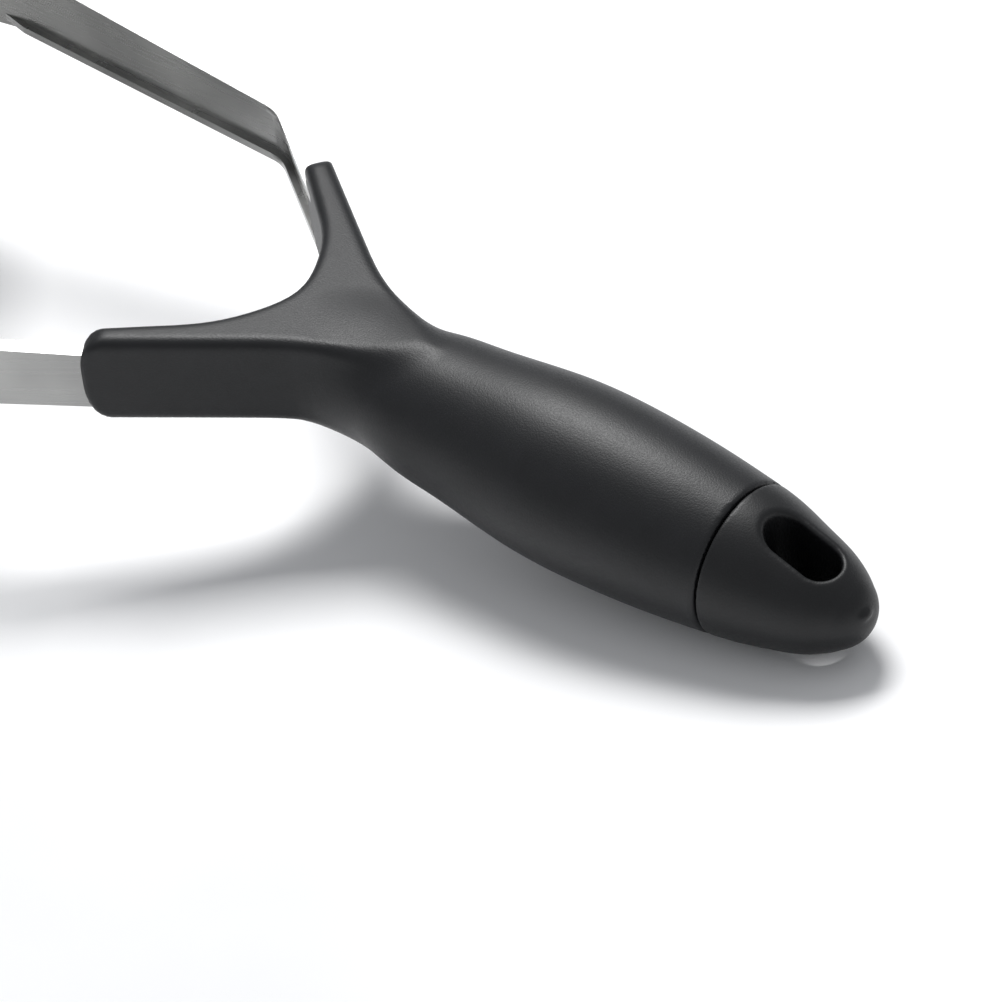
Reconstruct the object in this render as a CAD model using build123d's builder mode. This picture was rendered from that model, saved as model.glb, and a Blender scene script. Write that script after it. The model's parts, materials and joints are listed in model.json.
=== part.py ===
"""Potato ricer: a perforated cup carried in a hinged pair of Y-handled levers."""
import os
from math import asin, cos, radians, sin, tan

from build123d import *

os.makedirs("parts", exist_ok=True)

# The cup stands upright with the middle of its base at the origin. +X runs to the handles.

# cup
cup_radius = 34.0            # inside
cup_wall = 1.0
cup_floor = 1.2
cup_height = 60.5            # underside of the rim flange
cup_corner = 4.0
rim_radius = 38.2
rim_thickness = 1.2
hole_radius = 1.3
floor_pitch = 7.0
floor_reach = 29.0           # centres of the outermost floor holes
wall_columns = 30
wall_rows = 5
wall_pitch = 6.5
wall_start = 9.0             # height of the lowest row of wall holes
drill = 6.0                  # longer than the sheet is thick

# seat ring that carries the cup between the lower arms
seat_inner = 35.4
seat_outer = 39.1
ear_width = 11.0
ear_root = 33.5              # where an ear leaves the ring, from the middle plane
ear_height = 9.0
ear_x = 11.0
ear_rivet_z = 54.6

# sheet-metal arms
sheet = 1.5
lower_inside = 40.5          # inner face of a lower arm from the middle plane
upper_inside = 37.5
arm_height = 16.0            # at the rear of the run to the handle
arm_rise = 6.7               # middle of the arm there, above the barrel's axis
arm_front_x = -22.0          # where the arm enters the handle, in the lever's frame
arm_front_height = 11.6
arm_front_w = 1.0
flange_width = 1.3           # inner face to the free edge
flange_front = -14.0
flange_taper = 6.0
lever_slope = 9.58           # lower handle below level, degrees
bend_x = 37.0                # where the lower arms turn down
bend_z = 54.0
bend_to_crotch = 107.0
pin_to_crotch = 145.0
bend_radius = 9.0
prong_angle = 34.3           # diagonal run of an arm to the lever's axis, degrees
tang_start = 19.3
tang_end = 62.0
tang_y = 0.05                # half the gap between the two tangs
tang_rivets = (32.0, 50.0)

# hinge
pivot_radius = 80.0          # hinge to plunger pin
open_angle = 40.0            # line from hinge to plunger pin above level, at rest
hinge_radius = 4.0
hinge_boss = 8.5
hinge_head_radius = 7.0
hinge_head = 2.4
hinge_sleeve_radius = 6.0
washer_radius = 7.5
running_gap = 0.06
side_gap = 0.12
nut_height = 5.5
nut_radius = 6.5
nut_bore = 3.5

# plunger
plunger_height = 70.0        # disc underside to plunger pin
disc_low = 2.5               # disc underside with the levers closed
disc_high = cup_height + rim_thickness + 1.0
disc_radius = 30.2
disc_sheet = 1.2
disc_rim = 7.0
disc_corner = 2.6
pin_radius = 3.0
pin_head_radius = 5.5
pin_head = 2.0
sleeve_radius = 5.0
bracket_half = 16.0          # outer face of a bracket leg from the middle plane
bracket_foot = 28.0
bracket_top = 9.0            # radius round the plunger pin
foot_rivet_x = 9.0
foot_rivet_y = 9.0
rivet_radius = 2.0
rivet_head_radius = 3.4
rivet_head = 1.2

# handle, in its lever's frame: x from the crotch to the tip, w up from the barrel's axis
seam_x = 96.0
seam_gap = 0.4
seam_radius = 13.4
barrel_front = (3.0, 8.0)    # x and radius, inside the fork
barrel = [(11.0, 9.9), (22.0, 11.3), (38.0, 13.5), (56.0, 15.5), (72.0, 15.4), (86.0, 14.4)]
cap = [(106.0, 12.0), (114.0, 9.9), (119.3, 6.4)]
tip_x = 122.2
cap_taper = -0.03            # slope of the cap's side at the seam
fork_top = 12.0
fork_bottom = -6.0
fork_rounding = 1.6
fork_root = 30.0
prong_inner = [(-22.4, 26.6), (-14.5, 21.0), (-7.5, 15.3), (-2.2, 7.7), (0.0, 0.0)]
prong_outer = [(-20.6, 31.8), (1.0, 16.9), (10.5, 11.4), (24.0, 4.8)]
slot_x = 109.2
slot_length = 15.8
slot_width = 8.8
screw_radius = 1.8
screw_head_radius = 3.2
screw_head = 2.2
screw_start = 82.0
screw_shoulder = 97.5

far = 160.0                  # longer than any cut needs

slope = radians(lever_slope)
lift = radians(open_angle)
half_stroke = (disc_high - disc_low) / 2
swing = asin(half_stroke / pivot_radius)
hinge_x = -pivot_radius * (1 + cos(swing)) / 2
hinge = Vector(hinge_x, 0, disc_low + plunger_height + half_stroke)
plunger_pin = hinge + Vector(cos(lift), 0, sin(lift)) * pivot_radius
disc_z = plunger_pin.Z - plunger_height

# Lever frames: origin in the crotch of the fork, x along the handle, z square to the lever.
lower_x = Vector(cos(slope), 0, -sin(slope))
lower_z = Vector(sin(slope), 0, cos(slope))
lower_crotch = Vector(bend_x, 0, bend_z) + lower_x * bend_to_crotch - lower_z * arm_rise
lower = Plane(origin=lower_crotch, x_dir=lower_x, z_dir=lower_z)
upper_x = Vector(cos(lift + swing), 0, sin(lift + swing))
upper_z = Vector(-upper_x.Z, 0, upper_x.X)
upper_crotch = plunger_pin + upper_x * pin_to_crotch - upper_z * arm_rise
upper = Plane(origin=upper_crotch, x_dir=upper_x, z_dir=upper_z)


def side_of(plane):
    """The upright plane along a lever's axis, with its second direction away from the floor."""
    return Plane(origin=plane.origin, x_dir=plane.x_dir, z_dir=(0, -1, 0))


def save(part, name):
    part.label = name
    export_step(part, f"parts/{name}.step")
    return part


def bar_plane(centre, y):
    return Plane(origin=(centre.X, y, centre.Z), z_dir=(0, 1, 0))


def round_bar(centre, radius, start, end, bore=0.0):
    """A bar or a tube along Y."""
    with BuildPart() as bar:
        with BuildSketch(bar_plane(centre, start)):
            Circle(radius)
            if bore:
                Circle(bore, mode=Mode.SUBTRACT)
        extrude(amount=end - start)
    return bar.part


def mirrored(part):
    """A part and its mirror image across the middle plane, as two solids."""
    with BuildPart() as pair:
        add(part)
        mirror(part, about=Plane.XZ)
    return pair.part


# ---------------------------------------------------------------- arms
def arm_plan(inside, rear, width, side):
    """Plan of an arm: the rear run, the turn to the handle and the tang, offset from its inner face."""
    corner = tang_start - (inside - tang_y) / tan(radians(prong_angle))
    with BuildLine() as path:
        FilletPolyline(
            (rear, inside), (corner, inside), (tang_start, tang_y), (tang_end, tang_y), radius=bend_radius
        )
        offset(amount=width, side=side)
    return path.line


def arm_edge(x, rear, sign):
    """Top (+1) or bottom (-1) edge of an arm at x in the lever's frame."""
    share = min(max((x - rear) / (arm_front_x - rear), 0.0), 1.0)
    half = (arm_height + (arm_front_height - arm_height) * share) / 2
    return arm_rise + (arm_front_w - arm_rise) * share + sign * half


def front_run(start):
    """Side outline of an arm from its bend to the end of its tang."""
    stations = [start, arm_front_x, tang_end]
    top = [(x, arm_edge(x, start, 1)) for x in stations]
    bottom = [(x, arm_edge(x, start, -1)) for x in reversed(stations)]
    return top + bottom


def flange(plane, inside, start, sign):
    """The inward fold along one edge of an arm, tapered at its rear end."""
    stations = [start - flange_taper, start, arm_front_x, flange_front]
    edge = [(x, arm_edge(x, start, sign)) for x in stations]
    inner = [(x, w - sign * sheet) for x, w in reversed(edge)]
    with BuildPart() as fold:
        with BuildSketch(plane.offset(-far)):
            with BuildLine():
                add(arm_plan(inside, start - flange_taper, flange_width, Side.RIGHT))
            make_face()
            with BuildLine():
                Polyline(
                    (start - flange_taper, inside),
                    (start, inside - flange_width),
                    (start - flange_taper, inside - flange_width),
                    close=True,
                )
            make_face(mode=Mode.SUBTRACT)
        extrude(amount=2 * far)
        with BuildSketch(side_of(plane)):
            with BuildLine():
                Polyline(*edge, *inner, close=True)
            make_face()
        extrude(amount=-far, mode=Mode.INTERSECT)
    return fold.part


def rear_of_lower():
    """Level run beside the cup and the upright that carries the hinge, in the middle plane."""
    half = arm_height / 2
    mitre = half * tan(slope / 2)
    front = hinge.X + hinge_boss
    with BuildSketch(Plane.XZ) as outline:
        with BuildLine():
            Polyline(
                (bend_x - mitre, bend_z - half),
                (hinge.X - hinge_boss, bend_z - half),
                (hinge.X - hinge_boss, hinge.Z),
                (front, hinge.Z),
                (front, bend_z + half),
                (bend_x + mitre, bend_z + half),
                close=True,
            )
        make_face()
        fillet(outline.vertices().group_by(Axis.X)[1].group_by(Axis.Y)[0], hinge_boss)
        fillet(outline.vertices().group_by(Axis.X)[0].group_by(Axis.Y)[0], hinge_boss)
        with Locations((hinge.X, hinge.Z)):
            Circle(hinge_boss)
    return outline.sketch


def rear_of_upper():
    """Straight run from the plunger pin to the hinge, in the lever's side plane."""
    with BuildSketch(side_of(upper)) as outline:
        with Locations((-pin_to_crotch, arm_rise)):
            Circle(arm_height / 2)
        with Locations((-pin_to_crotch - pivot_radius * cos(swing), arm_rise + half_stroke)):
            Circle(hinge_boss)
        make_hull()
    return outline.sketch


def arm(plane, inside, start, rear, rear_outline, holes):
    """One arm: web, folds top and bottom, tang and holes. Built on the +Y side."""
    with BuildPart() as blank:
        with BuildSketch(plane.offset(-far)):
            with BuildLine():
                add(arm_plan(inside, rear, sheet, Side.LEFT))
            make_face()
        extrude(amount=2 * far)
    with BuildPart() as outline:
        extrude(rear_outline, amount=far, dir=(0, 1, 0))
        with BuildSketch(side_of(plane)):
            with BuildLine():
                Polyline(*front_run(start), close=True)
            make_face()
        extrude(amount=-far)
    with BuildPart() as piece:
        add(blank.part)
        add(outline.part, mode=Mode.INTERSECT)
        add(flange(plane, inside, start, 1))
        add(flange(plane, inside, start, -1))
        for centre, radius in holes:
            with BuildSketch(bar_plane(centre, 0)):
                Circle(radius)
            extrude(amount=far, mode=Mode.SUBTRACT)
    return piece.part


def tang_points(plane):
    return [plane.from_local_coords(Vector(x, 0, arm_front_w)) for x in tang_rivets]


def tang_holes(plane):
    return [(point, rivet_radius) for point in tang_points(plane)]


ear_rivets = [Vector(x, 0, ear_rivet_z) for x in (-ear_x, ear_x)]
lower_holes = [(hinge, hinge_radius)] + [(point, rivet_radius) for point in ear_rivets] + tang_holes(lower)
upper_holes = [(hinge, hinge_radius + running_gap), (plunger_pin, pin_radius)] + tang_holes(upper)
arm_rear = -2 * far

lower_arm = arm(lower, lower_inside, -bend_to_crotch, arm_rear, rear_of_lower(), lower_holes)
upper_arm = arm(upper, upper_inside, -pin_to_crotch, arm_rear, rear_of_upper(), upper_holes)
lower_arms = mirrored(lower_arm)
upper_arms = mirrored(upper_arm)
for name, pair in (("lower", lower_arms), ("upper", upper_arms)):
    right, left = pair.solids().sort_by(Axis.Y)
    save(left, f"{name}_arm_left")
    save(right, f"{name}_arm_right")


# ---------------------------------------------------------------- handles
def tang_rivet_set(plane):
    """Headed rivets that hold the two tangs together inside the barrel."""
    reach = tang_y + sheet
    with BuildPart() as rivets:
        for point in tang_points(plane):
            with BuildSketch(bar_plane(point, -reach - rivet_head)):
                Circle(rivet_head_radius)
            extrude(amount=rivet_head)
            with BuildSketch(bar_plane(point, reach)):
                Circle(rivet_head_radius)
            extrude(amount=rivet_head)
            with BuildSketch(bar_plane(point, -reach)):
                Circle(rivet_radius)
            extrude(amount=2 * reach)
    return rivets.part


def turned(plane, outline):
    """A solid of revolution about the lever's axis from the upper half of its side outline."""
    with BuildPart() as body:
        with BuildSketch(side_of(plane)):
            with BuildLine():
                add(outline)
            make_face()
        revolve(axis=Axis(plane.origin, plane.x_dir))
    return body.part


def barrel_outline():
    seam = (seam_x - seam_gap / 2, seam_radius)
    with BuildLine() as line:
        Spline(barrel_front, *barrel, seam)
        Polyline(seam, (seam[0], 0), (barrel_front[0], 0), barrel_front)
    return line.line


def cap_outline():
    seam = (seam_x + seam_gap / 2, seam_radius)
    with BuildLine() as line:
        Spline(seam, *cap, (tip_x, 0), tangents=[(1, cap_taper), (0, -1)])
        Polyline((tip_x, 0), (seam[0], 0), seam)
    return line.line


def cap_screw(plane):
    with BuildLine() as line:
        Polyline(
            (screw_start, 0),
            (screw_start, screw_radius),
            (screw_shoulder, screw_radius),
            (screw_shoulder, screw_head_radius),
            (screw_shoulder + screw_head, screw_head_radius),
            (screw_shoulder + screw_head, 0),
            close=True,
        )
    return turned(plane, line.line)


def fork(plane):
    """The two prongs and their root, with rounded edges."""
    far_inner = [(x, -v) for x, v in reversed(prong_inner[:-1])]
    far_outer = [(x, -v) for x, v in prong_outer]
    with BuildPart() as body:
        with BuildSketch(plane.offset(fork_bottom)):
            with BuildLine():
                Spline(*prong_inner, *far_inner)
                Line(far_inner[-1], far_outer[0])
                Spline(*far_outer)
                Polyline(far_outer[-1], (fork_root, 0), prong_outer[-1])
                Spline(*prong_outer)
                Line(prong_outer[0], prong_inner[0])
            make_face()
        extrude(amount=fork_top - fork_bottom)
        flats = body.faces().sort_by(Axis(plane.origin, plane.z_dir))
        long_edges = (flats[0].edges() + flats[-1].edges()).filter_by(GeomType.BSPLINE)
        fillet(long_edges, fork_rounding)
    return body.part


def handle(plane, name, arms):
    """Y-shaped handle moulded round the tangs, its end cap, the cap's screw and the tang rivets."""
    rivets = save(tang_rivet_set(plane), f"{name}_tang_rivets")
    screw = save(cap_screw(plane), f"{name}_cap_screw")
    with BuildPart() as grip:
        add(turned(plane, barrel_outline()))
        add(fork(plane))
        add(arms, mode=Mode.SUBTRACT)
        add(rivets, mode=Mode.SUBTRACT)
        add(screw, mode=Mode.SUBTRACT)
    save(grip.part, f"{name}_handle")
    with BuildPart() as end_cap:
        add(turned(plane, cap_outline()))
        with BuildSketch(plane):
            with Locations((slot_x, 0)):
                SlotOverall(slot_length, slot_width)
        extrude(amount=far, both=True, mode=Mode.SUBTRACT)
        add(screw, mode=Mode.SUBTRACT)
    save(end_cap.part, f"{name}_end_cap")


handle(lower, "lower", lower_arms)
handle(upper, "upper", upper_arms)

# ---------------------------------------------------------------- cup
with BuildPart() as cup:
    with BuildSketch(Plane.XZ):
        outer = cup_radius + cup_wall
        rim_top = cup_height + rim_thickness
        with BuildLine():
            Polyline(
                (0, 0),
                (outer - cup_corner - cup_wall, 0),
                (outer, cup_corner + cup_wall),
                (outer, cup_height),
                (rim_radius, cup_height),
                (rim_radius, rim_top),
                (cup_radius, rim_top),
                (cup_radius, cup_floor + cup_corner),
                (cup_radius - cup_corner, cup_floor),
                (0, cup_floor),
                close=True,
            )
        make_face()
    revolve(axis=Axis.Z)
    floor_count = 2 * int(floor_reach / floor_pitch) + 3
    with HexLocations(floor_pitch / 2, floor_count, floor_count) as grid:
        drilled = [spot for spot in grid.locations if floor_pitch / 2 < spot.position.length < floor_reach]
    with Locations(*drilled):
        Cylinder(hole_radius, drill, mode=Mode.SUBTRACT)
    for row in range(wall_rows):
        with Locations((0, 0, wall_start + row * wall_pitch)):
            with PolarLocations(cup_radius, wall_columns, start_angle=180 / wall_columns * (row % 2)):
                Cylinder(hole_radius, drill, rotation=(0, 90, 0), mode=Mode.SUBTRACT)
save(cup.part, "cup")

with BuildPart() as seat:
    seat_bottom = cup_height - sheet
    with BuildSketch(Plane.XY.offset(seat_bottom)):
        Circle(seat_outer)
        ear_middle = (ear_root + lower_inside) / 2
        with Locations(*[(x, y) for x in (-ear_x, ear_x) for y in (-ear_middle, ear_middle)]):
            Rectangle(ear_width, lower_inside - ear_root)
        Circle(seat_inner, mode=Mode.SUBTRACT)
    extrude(amount=sheet)
    with BuildSketch(Plane.XY.offset(cup_height)):
        tab_middle = lower_inside - sheet / 2
        with Locations(*[(x, y) for x in (-ear_x, ear_x) for y in (-tab_middle, tab_middle)]):
            Rectangle(ear_width, sheet)
    extrude(amount=-ear_height)
    for point in ear_rivets:
        with BuildSketch(bar_plane(point, 0)):
            Circle(rivet_radius)
        extrude(amount=far, both=True, mode=Mode.SUBTRACT)
save(seat.part, "cup_seat_ring")

with BuildPart() as ear_rivet_set:
    inner = lower_inside - sheet
    outer = lower_inside + sheet
    for point in ear_rivets:
        add(round_bar(point, rivet_radius, inner, outer))
        add(round_bar(point, rivet_head_radius, outer, outer + rivet_head))
        add(round_bar(point, rivet_head_radius, inner - rivet_head, inner))
save(mirrored(ear_rivet_set.part), "seat_rivets")

# ---------------------------------------------------------------- hinge
lower_outside = lower_inside + sheet
upper_outside = upper_inside + sheet
with BuildPart() as hinge_pin:
    add(round_bar(hinge, hinge_head_radius, -lower_outside - hinge_head, -lower_outside))
    add(round_bar(hinge, hinge_radius, -lower_outside, lower_outside + nut_bore))
save(hinge_pin.part, "hinge_pin")

with BuildPart() as nut:
    add(round_bar(hinge, nut_radius, lower_outside, lower_outside + nut_height))
    fillet(nut.faces().sort_by(Axis.Y)[-1].edges(), nut_height / 2)
    add(round_bar(hinge, hinge_radius, lower_outside, lower_outside + nut_bore), mode=Mode.SUBTRACT)
save(nut.part, "hinge_cap_nut")

washer = round_bar(hinge, washer_radius, upper_outside + side_gap, lower_inside, hinge_radius)
save(mirrored(washer), "hinge_washers")
bore = hinge_radius + running_gap
save(round_bar(hinge, hinge_sleeve_radius, -upper_inside, upper_inside, bore), "hinge_sleeve")

# ---------------------------------------------------------------- plunger
with BuildPart() as cross_pin:
    add(round_bar(plunger_pin, pin_radius, -upper_outside, upper_outside))
    add(round_bar(plunger_pin, pin_head_radius, upper_outside, upper_outside + pin_head))
    add(round_bar(plunger_pin, pin_head_radius, -upper_outside - pin_head, -upper_outside))
save(cross_pin.part, "plunger_pin")

sleeve = round_bar(plunger_pin, sleeve_radius, bracket_half + side_gap, upper_inside, pin_radius)
save(mirrored(sleeve), "plunger_pin_sleeves")

leg_inside = bracket_half - sheet
bush = round_bar(plunger_pin, sleeve_radius, -leg_inside, leg_inside, pin_radius + running_gap)
save(bush, "plunger_bush")

foot_bottom = disc_z + disc_sheet
foot_rivets = [
    (plunger_pin.X + x, y) for x in (-foot_rivet_x, foot_rivet_x) for y in (-foot_rivet_y, foot_rivet_y)
]
with BuildPart() as leg:
    with BuildSketch(Plane.XZ.offset(-bracket_half)):
        with BuildLine():
            Polyline(
                (plunger_pin.X - bracket_foot / 2, foot_bottom),
                (plunger_pin.X + bracket_foot / 2, foot_bottom),
                (plunger_pin.X + bracket_top, plunger_pin.Z),
                (plunger_pin.X - bracket_top, plunger_pin.Z),
                close=True,
            )
        make_face()
        with Locations((plunger_pin.X, plunger_pin.Z)):
            Circle(bracket_top)
            Circle(pin_radius + running_gap, mode=Mode.SUBTRACT)
    extrude(amount=sheet)
with BuildPart() as bracket:
    add(mirrored(leg.part))
    with BuildSketch(Plane.XY.offset(foot_bottom)):
        with Locations((plunger_pin.X, 0)):
            Rectangle(bracket_foot, 2 * bracket_half)
        with Locations(*foot_rivets):
            Circle(rivet_radius, mode=Mode.SUBTRACT)
    extrude(amount=sheet)
save(bracket.part, "plunger_bracket")

with BuildPart() as disc:
    with BuildSketch(Plane(origin=(plunger_pin.X, 0, disc_z), x_dir=(1, 0, 0), z_dir=(0, -1, 0))):
        with BuildLine():
            Polyline(
                (0, 0),
                (disc_radius - disc_corner, 0),
                (disc_radius, disc_corner),
                (disc_radius, disc_rim),
                (disc_radius - disc_sheet, disc_rim),
                (disc_radius - disc_sheet, disc_corner + disc_sheet),
                (disc_radius - disc_corner - disc_sheet, disc_sheet),
                (0, disc_sheet),
                close=True,
            )
        make_face()
    revolve(axis=Axis((plunger_pin.X, 0, 0), (0, 0, 1)))
    with BuildSketch(Plane.XY.offset(disc_z)):
        with Locations(*foot_rivets):
            Circle(rivet_radius)
    extrude(amount=disc_sheet, mode=Mode.SUBTRACT)
save(disc.part, "plunger_disc")

with BuildPart() as foot_rivet_set:
    with BuildSketch(Plane.XY.offset(disc_z)):
        with Locations(*foot_rivets):
            Circle(rivet_radius)
    extrude(amount=disc_sheet + sheet)
    with BuildSketch(Plane.XY.offset(foot_bottom + sheet)):
        with Locations(*foot_rivets):
            Circle(rivet_head_radius)
    extrude(amount=rivet_head)
save(foot_rivet_set.part, "plunger_rivets")
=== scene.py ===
import json
import math

import bpy
import numpy as np
from mathutils import Matrix, Vector


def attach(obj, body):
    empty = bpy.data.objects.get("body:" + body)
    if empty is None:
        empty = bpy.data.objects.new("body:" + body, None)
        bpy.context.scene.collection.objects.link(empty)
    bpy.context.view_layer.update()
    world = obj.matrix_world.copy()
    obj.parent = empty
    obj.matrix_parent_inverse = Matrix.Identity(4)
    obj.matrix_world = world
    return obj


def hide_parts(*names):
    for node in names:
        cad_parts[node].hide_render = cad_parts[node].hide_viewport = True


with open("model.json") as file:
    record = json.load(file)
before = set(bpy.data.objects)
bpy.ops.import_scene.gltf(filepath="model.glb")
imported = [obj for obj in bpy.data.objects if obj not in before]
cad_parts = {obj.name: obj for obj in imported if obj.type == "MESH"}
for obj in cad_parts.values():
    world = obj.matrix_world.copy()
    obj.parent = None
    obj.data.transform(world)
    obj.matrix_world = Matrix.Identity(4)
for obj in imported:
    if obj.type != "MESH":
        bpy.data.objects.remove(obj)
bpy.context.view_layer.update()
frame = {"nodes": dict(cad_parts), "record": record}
nodes = frame["nodes"]

MM = 0.001

# Handle shape in its lever's frame, in mm: x from the crotch to the tip, v across, w up.
# Barrel: radius along x. Its nose is buried in the fork.
SEAM_X = 96.0
BARREL = [(-3.0, 3.8), (3.0, 6.8), (11.0, 9.6), (15.0, 10.4), (20.0, 11.2), (30.0, 13.1), (38.0, 13.9),
          (56.0, 15.85), (72.0, 15.85), (86.0, 14.75), (SEAM_X, 13.5)]
BARREL_NOSE_X = BARREL[0][0]
NOSE_BLEND = 4.0
NECK_BLEND = 5.0

# Fork: plan outlines (x, v) of one side, cut off at the prong's end and mirrored.
FORK_TOP = 12.0
FORK_BOTTOM = -6.0
TOP_ROUNDING = 2.0
BOTTOM_ROUNDING = 1.9
PRONG_INNER = [(-0.6, 0.0), (-2.8, 7.6), (-8.0, 15.2), (-14.7, 21.0), (-21.5, 26.5), (-30.0, 33.2)]
PRONG_OUTER = [(-29.2, 38.2), (1.0, 17.2), (10.5, 11.3), (24.0, 5.0), (30.0, 0.0)]
PRONG_ANGLE = 34.3           # between a prong and the lever's axis, degrees
PRONG_LENGTH = 36.8          # along the prong, from the crotch to the middle of its end
PRONG_END_MIDDLE = 3.0       # height of the end's middle
PRONG_END_BULGE = 0.00165    # how fast the end curves back above and below its middle
PRONG_END_POWER = 3.5
PRONG_END_ROUNDING = 1.4
MOULD_NUB = (-5.2, 12.4, 8.6)
MOULD_NUB_RADIUS = 0.55

# End cap: side radius along x, up to where the rounded nose takes over.
CAP = [(SEAM_X, 13.5), (101.6, 12.65), (105.5, 11.8), (110.0, 10.75), (114.0, 9.8), (118.0, 8.9)]
CAP_NOSE_X = 108.0
CAP_NOSE_POWER = 2.5
CAP_TIP_X = 121.5
CAP_TIP_STEEPNESS = 0.85     # evens out the distance field towards the tip
CAP_DROP = 0.55              # the cap's middle line falls this far below the barrel's axis
CAP_DROP_LENGTH = 15.0
CAP_DROP_FADE = 4
SEAM_GAP = 0.4
SEAM_ROUNDING = 0.5
SLOT_X = 109.2               # the hanging slot's mount
SLOT_SHIFT = -1.1            # from the mount to the middle of the opening
SLOT_LENGTH = 13.6
SLOT_WIDTH = 7.8
SLOT_LIP = 1.3
PARTING_NUB = (CAP_TIP_X - 0.9, -0.5, 1.6)
PARTING_NUB_RADIUS = 1.0
PARTING_NUB_WIDTH = 1.6      # across, as a multiple of its other radii
PARTING_NUB_BLEND = 0.5

# Grids that the two surfaces are meshed on: low corner, high corner, size of a cell.
HANDLE_GRID = ((-34, -40, -18), (98, 40, 18), 0.75)
CAP_GRID = ((94, -16, -16), (124, 16, 16), 0.45)


# ---------------------------------------------------------------- curves and distance fields
def smooth_curve(points):
    """A natural cubic through (x, y) points, as a function of x that gives its height."""
    x, y = np.array(points, float).T
    gap = np.diff(x)
    count = len(x)
    system = np.eye(count)
    known = np.zeros(count)
    for i in range(1, count - 1):
        system[i, i - 1:i + 2] = gap[i - 1], 2 * (gap[i - 1] + gap[i]), gap[i]
        known[i] = 6 * ((y[i + 1] - y[i]) / gap[i] - (y[i] - y[i - 1]) / gap[i - 1])
    bend = np.linalg.solve(system, known)

    def height(at):
        i = np.clip(np.searchsorted(x, at) - 1, 0, count - 2)
        a, b, g = x[i + 1] - at, at - x[i], gap[i]
        cubic = (bend[i] * a**3 + bend[i + 1] * b**3) / (6 * g)
        return cubic + (y[i] / g - bend[i] * g / 6) * a + (y[i + 1] / g - bend[i + 1] * g / 6) * b

    return height


def curve_points(points, mirrored_start, count=24):
    """Points along a smooth curve; mirrored_start makes it cross v = 0 squarely."""
    run = [(x, -v) for x, v in reversed(points[1:])] + points if mirrored_start else points
    run = np.array(run, float)
    along = np.r_[0, np.cumsum(np.hypot(*np.diff(run, axis=0).T))]
    start = along[len(points) - 1] if mirrored_start else 0.0
    at = np.linspace(start, along[-1], count)
    sides = [smooth_curve(np.c_[along, run[:, axis]])(at) for axis in (0, 1)]
    return np.stack(sides, 1)


def soft_min(a, b, blend):
    """The nearer of two surfaces, with a fillet of about that size between them."""
    h = np.maximum(blend - np.abs(a - b), 0) / blend
    return np.minimum(a, b) - h * h * blend / 4


def soft_max(a, b, blend):
    """The farther of two surfaces, with its edge rounded in the same way."""
    return -soft_min(-a, -b, blend)


def outline_distance(x, v, outline):
    """Signed distance in plan to an open outline that starts and ends on v = 0, for v of 0 or more."""
    flat = np.stack([x.ravel(), v.ravel()], 1)
    away = np.full(len(flat), np.inf)
    inside = np.zeros(len(flat), bool)
    for start, end in zip(outline[:-1], outline[1:]):
        run = end - start
        share = np.clip((flat - start) @ run / (run @ run), 0, 1)
        away = np.minimum(away, np.hypot(*(flat - start - share[:, None] * run).T))
        crosses = (start[0] > flat[:, 0]) != (end[0] > flat[:, 0])
        if run[0]:
            inside ^= crosses & (flat[:, 1] < start[1] + (flat[:, 0] - start[0]) * run[1] / run[0])
    return np.where(inside, -away, away).reshape(x.shape)


barrel_radius = smooth_curve(BARREL)
cap_side = smooth_curve(CAP)
fork_outline = np.concatenate([curve_points(PRONG_INNER, True), curve_points(PRONG_OUTER, False)])


def nub(x, v, w, middle, radius, width=1.0):
    """Distance to a small ball, or to one that is stretched across the lever."""
    return np.sqrt((x - middle[0])**2 + ((v - middle[1]) / width)**2 + (w - middle[2])**2) - radius


def fork_field(x, v, w):
    """Distance to the fork: a flat plan shape with rounded edges and bulging prong ends."""
    plan = outline_distance(x[:, :, :1], np.abs(v[:, :, :1]), fork_outline)
    rounding = np.where(w > (FORK_TOP + FORK_BOTTOM) / 2, TOP_ROUNDING, BOTTOM_ROUNDING)
    side = plan + rounding
    face = np.maximum(w - FORK_TOP, FORK_BOTTOM - w) + rounding
    outside = np.hypot(np.maximum(side, 0), np.maximum(face, 0))
    prongs = np.minimum(np.maximum(side, face), 0) + outside - rounding
    angle = math.radians(PRONG_ANGLE)
    along = np.abs(v) * math.sin(angle) - x * math.cos(angle)
    bulge = PRONG_END_BULGE * np.abs(w - PRONG_END_MIDDLE)**PRONG_END_POWER
    return soft_max(prongs, along - PRONG_LENGTH + bulge, PRONG_END_ROUNDING)


def handle_field(x, v, w):
    """Distance to the handle: a turned barrel that grows out of a flat fork."""
    barrel = np.hypot(v, w) - barrel_radius(np.clip(x, BARREL_NOSE_X, SEAM_X))
    barrel = soft_max(barrel, BARREL_NOSE_X - x, NOSE_BLEND)
    body = soft_min(barrel, fork_field(x, v, w), NECK_BLEND)
    body = np.minimum(body, nub(x, v, w, MOULD_NUB, MOULD_NUB_RADIUS))
    return soft_max(body, x - SEAM_X + SEAM_GAP / 2, SEAM_ROUNDING)


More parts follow.
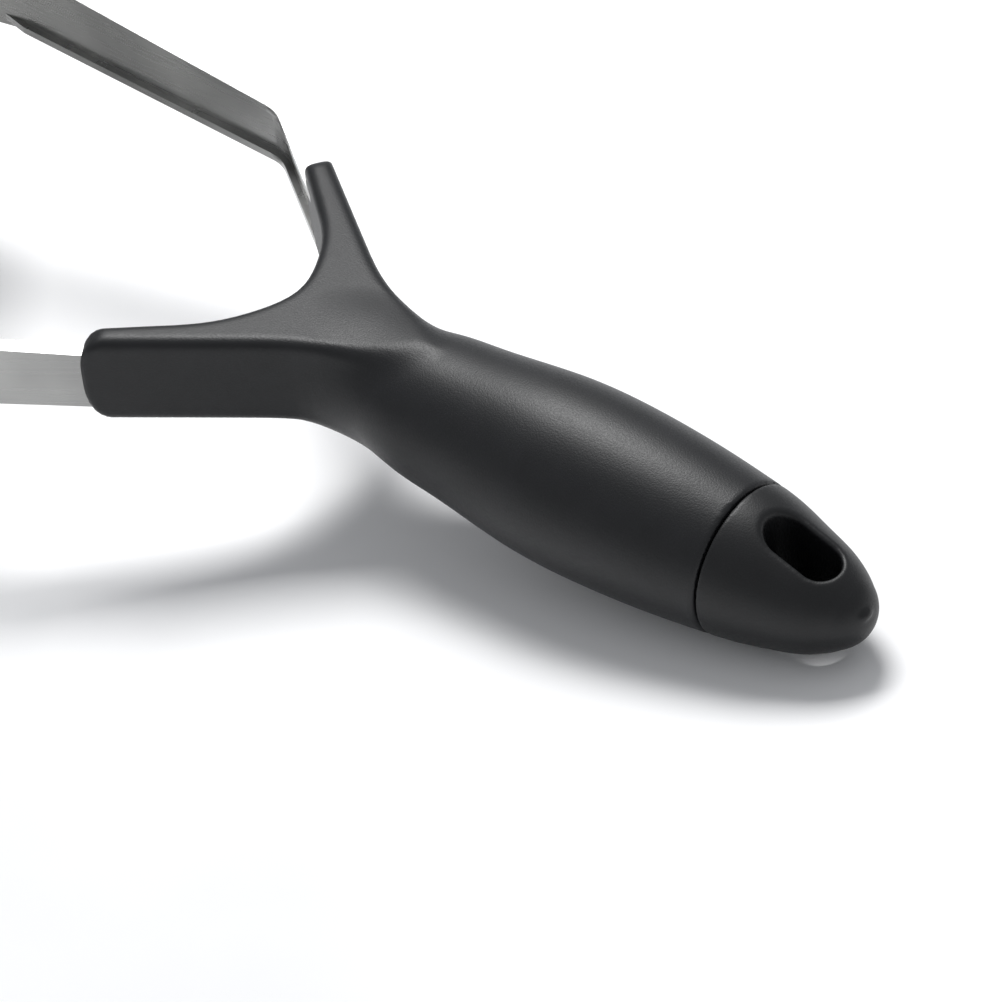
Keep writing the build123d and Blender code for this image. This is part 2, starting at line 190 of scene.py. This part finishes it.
def cap_field(x, v, w):
    """Distance to the end cap: a drooping nose with a hanging slot through it."""
    fall = np.clip((x - SEAM_X) / CAP_DROP_LENGTH, 0, 1)
    drop = CAP_DROP * fall * fall * (3 - 2 * fall)
    nose = np.clip((x - CAP_NOSE_X) / (CAP_TIP_X - CAP_NOSE_X), 0, 1)
    side = cap_side(np.clip(x, SEAM_X, CAP[-1][0]))
    radius = side * np.sqrt(1 - nose**CAP_NOSE_POWER) - drop * (1 - nose**CAP_DROP_FADE)
    steep = np.sqrt(1 - CAP_TIP_STEEPNESS * nose**2)
    body = (np.hypot(v, w + drop) - np.maximum(radius, 0)) * steep + np.maximum(x - CAP_TIP_X, 0)
    parting = nub(x, v, w, PARTING_NUB, PARTING_NUB_RADIUS, PARTING_NUB_WIDTH)
    body = soft_min(body, parting, PARTING_NUB_BLEND)
    straight = (SLOT_LENGTH - SLOT_WIDTH) / 2
    past_straight = np.maximum(np.abs(x - SLOT_X - SLOT_SHIFT) - straight, 0)
    slot = np.hypot(past_straight, v) - SLOT_WIDTH / 2
    body = soft_max(body, -slot, SLOT_LIP)
    return soft_max(body, SEAM_X + SEAM_GAP / 2 - x, SEAM_ROUNDING)


# ---------------------------------------------------------------- meshes from fields
def surface_net(field, low, high, step):
    """Points and quads over the zero surface of a field, one point in each cell that it crosses."""
    axes = [np.arange(a, b + step, step) for a, b in zip(low, high)]
    spot = np.stack(np.meshgrid(*axes, indexing="ij"), -1)
    value = field(spot[..., 0], spot[..., 1], spot[..., 2])
    shape = value.shape
    total = np.zeros((*[n + 1 for n in shape], 3))
    count = np.zeros([n + 1 for n in shape])
    crossings = []
    for axis in range(3):
        near = tuple(slice(0, -1) if i == axis else slice(None) for i in range(3))
        far = tuple(slice(1, None) if i == axis else slice(None) for i in range(3))
        edge = np.argwhere((value[near] < 0) != (value[far] < 0))
        start = value[near][tuple(edge.T)]
        end = value[far][tuple(edge.T)]
        place = spot[near][tuple(edge.T)]
        place[:, axis] += step * start / (start - end)
        first, second = [i for i in range(3) if i != axis]
        ring = []
        for back in ((1, 1), (0, 1), (0, 0), (1, 0)):
            cell = edge + 1
            cell[:, first] -= back[0]
            cell[:, second] -= back[1]
            np.add.at(total, tuple(cell.T), place)
            np.add.at(count, tuple(cell.T), 1)
            ring.append(cell)
        flip = (start < 0) != (axis == 1)
        crossings.append((ring, flip))
    index = np.full(count.shape, -1)
    used = count > 0
    index[used] = np.arange(used.sum())
    quads = []
    for ring, flip in crossings:
        quad = np.stack([index[tuple(cell.T)] for cell in ring], 1)
        quad[~flip] = quad[~flip][:, ::-1]
        quads.append(quad)
    return total[used] / count[used][:, None], np.concatenate(quads)


def settle(field, points, rounds=4, reach=0.05, least_slope=0.2, longest_move=0.5):
    """Moves points onto the zero surface of a field."""
    for _ in range(rounds):
        grid = points[:, None, None, :]
        here = field(*np.moveaxis(grid, -1, 0))[:, 0, 0]
        slope = np.zeros_like(points)
        for axis in range(3):
            shift = np.zeros(3)
            shift[axis] = reach
            ahead = field(*np.moveaxis(grid + shift, -1, 0))[:, 0, 0]
            behind = field(*np.moveaxis(grid - shift, -1, 0))[:, 0, 0]
            slope[:, axis] = (ahead - behind) / (2 * reach)
        size = np.maximum((slope**2).sum(1), least_slope)
        points = points - slope * np.clip(here / size, -longest_move, longest_move)[:, None]
    return points


def net_mesh(name, field, low, high, step):
    """A smooth-shaded mesh of a field's zero surface."""
    points, quads = surface_net(field, low, high, step)
    points = settle(field, points)
    mesh = bpy.data.meshes.new(name)
    mesh.from_pydata(points.tolist(), [], quads.tolist())
    mesh.validate()
    mesh.polygons.foreach_set("use_smooth", [True] * len(mesh.polygons))
    mesh.update()
    return mesh


def lever_frame(mount_name):
    """The matrix from a lever's frame in mm to the row frame in metres, from its hanging slot."""
    mount = next(m for m in frame["record"]["mounts"] if m["name"] == mount_name)
    up = Vector(mount["axis"]).normalized()
    along = Vector((up.z, 0, -up.x))
    crotch = Vector(mount["pos_m"]) - along * SLOT_X * MM
    turn = Matrix((along, (0, 1, 0), up)).transposed().to_4x4()
    return Matrix.Translation(crotch) @ turn @ Matrix.Scale(MM, 4)


# ---------------------------------------------------------------- materials
def new_material(name):
    material = bpy.data.materials.new(name)
    material.use_nodes = True
    tree = material.node_tree
    return material, tree, tree.nodes["Principled BSDF"]


NOISE_LOW = 0.3               # the part of the noise's range that is used
NOISE_HIGH = 0.7


def add_noise(tree, scale, stretch=(1, 1, 1), tilt=0.0, detail=3.0):
    """Noise over the row frame. stretch multiplies its frequency along x, y and z, after the tilt about y."""
    place = tree.nodes.new("ShaderNodeTexCoord")
    turn = tree.nodes.new("ShaderNodeMapping")
    turn.inputs["Rotation"].default_value = (0, tilt, 0)
    size = tree.nodes.new("ShaderNodeMapping")
    size.inputs["Scale"].default_value = [scale * s for s in stretch]
    noise = tree.nodes.new("ShaderNodeTexNoise")
    noise.inputs["Scale"].default_value = 1.0
    noise.inputs["Detail"].default_value = detail
    tree.links.new(place.outputs["Object"], turn.inputs["Vector"])
    tree.links.new(turn.outputs["Vector"], size.inputs["Vector"])
    tree.links.new(size.outputs["Vector"], noise.inputs["Vector"])
    return noise.outputs["Fac"]


def add_range(tree, value, low, high):
    """Noise turned into a value between low and high."""
    ranged = tree.nodes.new("ShaderNodeMapRange")
    ranged.inputs["From Min"].default_value = NOISE_LOW
    ranged.inputs["From Max"].default_value = NOISE_HIGH
    ranged.inputs["To Min"].default_value = low
    ranged.inputs["To Max"].default_value = high
    tree.links.new(value, ranged.inputs["Value"])
    return ranged.outputs["Result"]


def add_tint(tree, value, dark, light):
    """Noise turned into a colour between dark and light."""
    ramp = tree.nodes.new("ShaderNodeValToRGB")
    ramp.color_ramp.elements[0].position = NOISE_LOW
    ramp.color_ramp.elements[0].color = (*dark, 1)
    ramp.color_ramp.elements[1].position = NOISE_HIGH
    ramp.color_ramp.elements[1].color = (*light, 1)
    tree.links.new(value, ramp.inputs["Fac"])
    return ramp.outputs["Color"]


def add_bump(tree, shader, height, distance):
    bump = tree.nodes.new("ShaderNodeBump")
    bump.inputs["Distance"].default_value = distance
    tree.links.new(height, bump.inputs["Height"])
    tree.links.new(bump.outputs["Normal"], shader.inputs["Normal"])


PLASTIC_SHEEN = 0.38
GRAIN_SCALE = 3400            # noise cells per metre
PLASTIC_CLOUD_SCALE = 160
STEEL_CLOUD_SCALE = 45
STEEL_GRAIN = 0.004 * MM


def plastic(name, dark, light, rough_low, rough_high, grain):
    """Moulded plastic with a fine grain and slightly uneven sheen."""
    material, tree, shader = new_material(name)
    fine = add_noise(tree, GRAIN_SCALE)
    broad = add_noise(tree, PLASTIC_CLOUD_SCALE)
    tree.links.new(add_tint(tree, broad, dark, light), shader.inputs["Base Color"])
    tree.links.new(add_range(tree, fine, rough_low, rough_high), shader.inputs["Roughness"])
    shader.inputs["Specular IOR Level"].default_value = PLASTIC_SHEEN
    add_bump(tree, shader, fine, grain)
    return material


def steel(name, dark, light, rough_low, rough_high, stretch, tilt=0.0):
    """Brushed steel: lines where the noise is stretched, over a broad cloudiness."""
    material, tree, shader = new_material(name)
    shader.inputs["Metallic"].default_value = 1.0
    lines = add_noise(tree, 1, stretch, tilt, detail=5)
    broad = add_noise(tree, STEEL_CLOUD_SCALE, detail=2)
    tree.links.new(add_tint(tree, broad, dark, light), shader.inputs["Base Color"])
    tree.links.new(add_range(tree, lines, rough_low, rough_high), shader.inputs["Roughness"])
    add_bump(tree, shader, lines, STEEL_GRAIN)
    return material


def tilt_of(matrix):
    """Angle of a lever below level, for brushing that follows it."""
    along = matrix.col[0].to_3d()
    return math.atan2(-along.z, along.x)


# Brushing: noise cells per metre along x, y and z.
ALONG_STRIP = (25, 25, 3200)
ROUND_THE_CUP = (60, 60, 2600)
POLISHED = (400, 400, 400)

lower_frame = lever_frame("lower_hanging_slot")
upper_frame = lever_frame("upper_hanging_slot")

# Each finish: dark and light tint, lowest and highest roughness, then its grain or brushing.
HANDLE_BLACK = ((0.004, 0.0045, 0.0055), (0.007, 0.0075, 0.009), 0.40, 0.50, 0.04 * MM)
CAP_BLACK = ((0.003, 0.0033, 0.004), (0.005, 0.0055, 0.0065), 0.40, 0.50, 0.03 * MM)
NYLON_WHITE = ((0.74, 0.73, 0.69), (0.82, 0.81, 0.77), 0.38, 0.50, 0.03 * MM)
STRIP = ((0.31, 0.31, 0.305), (0.44, 0.44, 0.43), 0.24, 0.36, ALONG_STRIP)
CUP = ((0.42, 0.42, 0.42), (0.52, 0.52, 0.515), 0.22, 0.32, ROUND_THE_CUP)
BRIGHT = ((0.55, 0.55, 0.56), (0.63, 0.63, 0.64), 0.14, 0.24, POLISHED)

black_plastic = plastic("black_plastic", *HANDLE_BLACK)
black_cap = plastic("black_cap", *CAP_BLACK)
nylon = plastic("nylon", *NYLON_WHITE)
lower_steel = steel("lower_arm_steel", *STRIP, -tilt_of(lower_frame))
upper_steel = steel("upper_arm_steel", *STRIP, -tilt_of(upper_frame))
cup_steel = steel("cup_steel", *CUP)
bright_steel = steel("bright_steel", *BRIGHT)


# ---------------------------------------------------------------- CAD nodes that are kept
WELD_REACH = 0.01 * MM
BEVEL_SEGMENTS = 2
BEVEL_ANGLE = math.radians(40.0)


def soften(node, width):
    """Joins a node's facets and rounds its edges by a width in mm."""
    weld = node.modifiers.new("weld", "WELD")
    weld.merge_threshold = WELD_REACH
    bevel = node.modifiers.new("bevel", "BEVEL")
    bevel.width = width * MM
    bevel.segments = BEVEL_SEGMENTS
    bevel.limit_method = "ANGLE"
    bevel.angle_limit = BEVEL_ANGLE
    bevel.harden_normals = True


# What each CAD node gets: material, rounding of its edges in mm, names of the nodes.
FINISHES = [
    (lower_steel, 0.35, ["lower_arm_left", "lower_arm_right"]),
    (upper_steel, 0.35, ["upper_arm_left", "upper_arm_right"]),
    (cup_steel, 0.0, ["cup"]),
    (cup_steel, 0.3, ["cup_seat_ring", "plunger_bracket", "plunger_disc"]),
    (bright_steel, 0.4, ["hinge_pin", "seat_rivets", "plunger_rivets", "plunger_pin"]),
    (bright_steel, 0.2, ["hinge_cap_nut", "hinge_sleeve", "plunger_pin_sleeves"]),
    (bright_steel, 0.2, ["lower_cap_screw", "upper_cap_screw", "lower_tang_rivets", "upper_tang_rivets"]),
    (nylon, 0.2, ["hinge_washers", "plunger_bush"]),
]
for material, rounding, names in FINISHES:
    for name in names:
        nodes[name].data.materials.clear()
        nodes[name].data.materials.append(material)
        if rounding:
            soften(nodes[name], rounding)


# ---------------------------------------------------------------- handles and end caps
def place(mesh, name, matrix, body, material, slot, node):
    """Puts a copy of a mesh on a lever, where it replaces that lever's CAD node."""
    piece = bpy.data.objects.new(name, mesh.copy())
    piece.data.transform(matrix)
    piece.data.materials.append(material)
    bpy.context.scene.collection.objects.link(piece)
    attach(piece, body)
    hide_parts(node)


handle_mesh = net_mesh("handle", handle_field, *HANDLE_GRID)
cap_mesh = net_mesh("end_cap", cap_field, *CAP_GRID)
for lever, matrix in (("lower", lower_frame), ("upper", upper_frame)):
    body = f"{lever}_lever"
    place(handle_mesh, f"{lever}_grip", matrix, body, black_plastic, "black_plastic", f"{lever}_handle")
    place(cap_mesh, f"{lever}_cap", matrix, body, black_cap, "black_cap", f"{lever}_end_cap")


# ---------------------------------------------------------------- floor, light and camera
FLOOR_HALF = 3.0
FLOOR_DARK = (0.93, 0.93, 0.935)
FLOOR_LIGHT = (0.95, 0.95, 0.955)
FLOOR_CLOUD_SCALE = 30
FLOOR_ROUGHNESS = 0.7
FLOOR_SHEEN = 0.1


def make_floor():
    mesh = bpy.data.meshes.new("floor")
    corners = [(-1, -1), (1, -1), (1, 1), (-1, 1)]
    mesh.from_pydata([(x * FLOOR_HALF, y * FLOOR_HALF, 0) for x, y in corners], [], [(0, 1, 2, 3)])
    floor = bpy.data.objects.new("floor", mesh)
    bpy.context.scene.collection.objects.link(floor)
    material, tree, shader = new_material("floor")
    paper = add_noise(tree, FLOOR_CLOUD_SCALE, detail=2)
    tree.links.new(add_tint(tree, paper, FLOOR_DARK, FLOOR_LIGHT), shader.inputs["Base Color"])
    shader.inputs["Roughness"].default_value = FLOOR_ROUGHNESS
    shader.inputs["Specular IOR Level"].default_value = FLOOR_SHEEN
    mesh.materials.append(material)


SOFTBOX_SPOT = (-0.12, 0.34, 0.92)
SOFTBOX_TARGET = (0.14, 0, 0)
SOFTBOX_SIZE = (0.46, 0.38)
SOFTBOX_POWER = 10.5


def make_softbox():
    data = bpy.data.lights.new("top_softbox", "AREA")
    data.shape = "RECTANGLE"
    data.size, data.size_y = SOFTBOX_SIZE
    data.energy = SOFTBOX_POWER
    lamp = bpy.data.objects.new("top_softbox", data)
    lamp.location = SOFTBOX_SPOT
    facing = Vector(SOFTBOX_TARGET) - Vector(SOFTBOX_SPOT)
    lamp.rotation_euler = facing.to_track_quat("-Z", "Y").to_euler()
    bpy.context.scene.collection.objects.link(lamp)


ROOM_COLOUR = (0.95, 0.97, 1.0)
ROOM_STRENGTH = 0.46


def make_world():
    world = bpy.data.worlds.new("studio")
    world.use_nodes = True
    background = world.node_tree.nodes["Background"]
    background.inputs["Color"].default_value = (*ROOM_COLOUR, 1)
    background.inputs["Strength"].default_value = ROOM_STRENGTH
    bpy.context.scene.world = world


AIM = (54.56, -12.11, 0.0)       # where the camera looks, in the lower lever's frame, mm
AZIMUTH = 48.26                  # of the camera, from -Y towards +X, degrees
ELEVATION = 35.44
ROLL = -13.78
DISTANCE = 0.6922                # m
LENS = 149.19                    # mm
SENSOR_WIDTH = 36.0


def make_camera():
    azimuth, elevation, roll = (math.radians(a) for a in (AZIMUTH, ELEVATION, ROLL))
    flat = math.cos(elevation)
    back = Vector((math.sin(azimuth) * flat, -math.cos(azimuth) * flat, math.sin(elevation)))
    level = Vector((0, 0, 1)).cross(back).normalized()
    upright = back.cross(level)
    right = level * math.cos(roll) + upright * math.sin(roll)
    up = back.cross(right)
    data = bpy.data.cameras.new("camera")
    data.sensor_width = SENSOR_WIDTH
    data.lens = LENS
    camera = bpy.data.objects.new("camera", data)
    spot = lower_frame @ Vector(AIM) + back * DISTANCE
    camera.matrix_world = Matrix.Translation(spot) @ Matrix((right, up, back)).transposed().to_4x4()
    bpy.context.scene.collection.objects.link(camera)
    bpy.context.scene.camera = camera


bpy.context.scene.view_settings.view_transform = "Standard"
make_floor()
make_world()
make_softbox()
make_camera()
